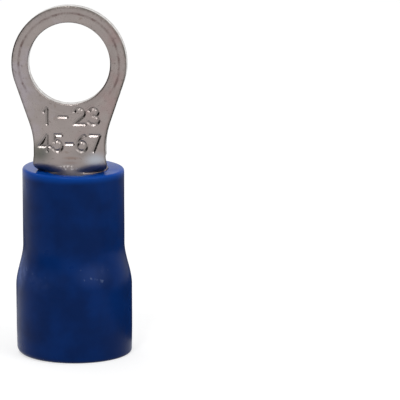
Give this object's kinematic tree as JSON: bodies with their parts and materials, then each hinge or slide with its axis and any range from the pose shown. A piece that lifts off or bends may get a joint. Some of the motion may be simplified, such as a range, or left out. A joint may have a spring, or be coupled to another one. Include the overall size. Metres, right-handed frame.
{
  "type": "ring terminal",
  "caption": "Insulated crimp ring terminal: flat stamped ring for a stud, rolled wire barrel, and a blue sleeve flared at the wire entry.",
  "frame": {"origin": "centre of the sleeve's wire-entry end, on the barrel's axis", "axes": "+Z along the barrel's axis, from the wire entry up to the ring; +X across the ring's width; the tongue lies on the -Y side of the axis and the barrel's seam on the +Y side"},
  "size_m": [0.0066, 0.0066, 0.0199],
  "materials": {
    "tinned_copper": "satin",
    "blue_vinyl": "satin"
  },
  "bodies": {
    "root": {"terminal": "tinned_copper", "insulating_sleeve": "blue_vinyl"}
  },
  "joints": []
}
